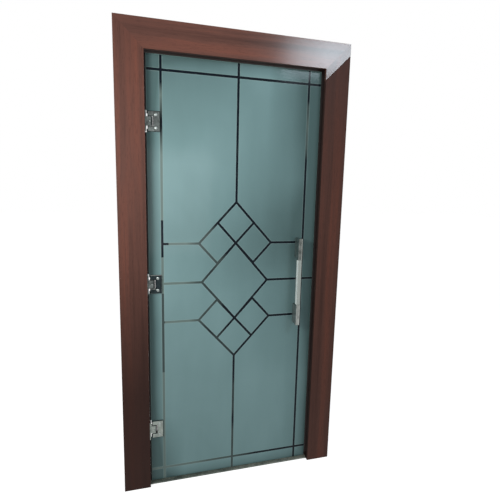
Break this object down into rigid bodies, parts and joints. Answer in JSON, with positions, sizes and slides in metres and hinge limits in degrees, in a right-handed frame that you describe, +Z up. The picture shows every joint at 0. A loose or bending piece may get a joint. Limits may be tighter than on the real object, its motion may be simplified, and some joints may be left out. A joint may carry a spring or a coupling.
{
  "type": "glass door with frame",
  "caption": "Frameless glass door leaf with etched fields and clear lines, on glass-to-wall hinges in a wood lined and cased frame, with a square pull handle on each side.",
  "frame": {"origin": "floor level, in the middle of the opening's width and of the glass thickness", "axes": "+X from the hinges to the pull, +Y through the wall to the rear, +Z up; the front faces -Y"},
  "size_m": [1.1, 0.132, 2.2],
  "materials": {
    "casing_board": "dark brown veneer, satin lacquer",
    "lining_board": "dark brown veneer, satin lacquer",
    "threshold_strip": "mottled, honed",
    "glass": "toughened, rear face sandblasted but for clear lines",
    "hinge_chrome": "polished",
    "pin_steel": "ground",
    "screw_steel": "bright",
    "pull_steel": "satin middle, polished ends and legs",
    "gasket": "matt"
  },
  "bodies": {
    "frame": {"bottom_hinge_wall_plate": "hinge_chrome", "front_casing_corner_piece": "casing_board", "front_casing_head": "casing_board", "front_casing_hinge_side": "casing_board", "front_casing_strike_side": "casing_board", "head_lining": "lining_board", "hinge_set_screws": "screw_steel", "hinge_side_lining": "lining_board", "hinge_wall_screws": "screw_steel", "middle_hinge_wall_plate": "hinge_chrome", "rear_casing_head": "casing_board", "rear_casing_hinge_side": "casing_board", "rear_casing_strike_side": "casing_board", "strike_side_lining": "lining_board", "threshold": "threshold_strip", "top_hinge_wall_plate": "hinge_chrome"},
    "leaf": {"bottom_hinge_front_gasket": "gasket", "bottom_hinge_front_plate": "hinge_chrome", "bottom_hinge_pin": "pin_steel", "bottom_hinge_rear_gasket": "gasket", "bottom_hinge_rear_plate": "hinge_chrome", "front_pull": "pull_steel", "glass_leaf": "glass", "hinge_clamp_screws": "screw_steel", "hinge_edge_seal": "gasket", "middle_hinge_front_gasket": "gasket", "middle_hinge_front_plate": "hinge_chrome", "middle_hinge_pin": "pin_steel", "middle_hinge_rear_gasket": "gasket", "middle_hinge_rear_plate": "hinge_chrome", "pull_gaskets": "gasket", "pull_grub_screws": "screw_steel", "pull_stud_bushes": "gasket", "pull_studs": "screw_steel", "rear_pull": "pull_steel", "top_hinge_front_gasket": "gasket", "top_hinge_front_plate": "hinge_chrome", "top_hinge_pin": "pin_steel", "top_hinge_rear_gasket": "gasket", "top_hinge_rear_plate": "hinge_chrome"}
  },
  "joints": [
    {"name": "door_swing", "type": "hinge", "parent": "frame", "child": "leaf", "pos_m": [-0.403, 0, 1.039], "axis": [0, 0, 1], "range_deg": [-90, 90]}
  ]
}
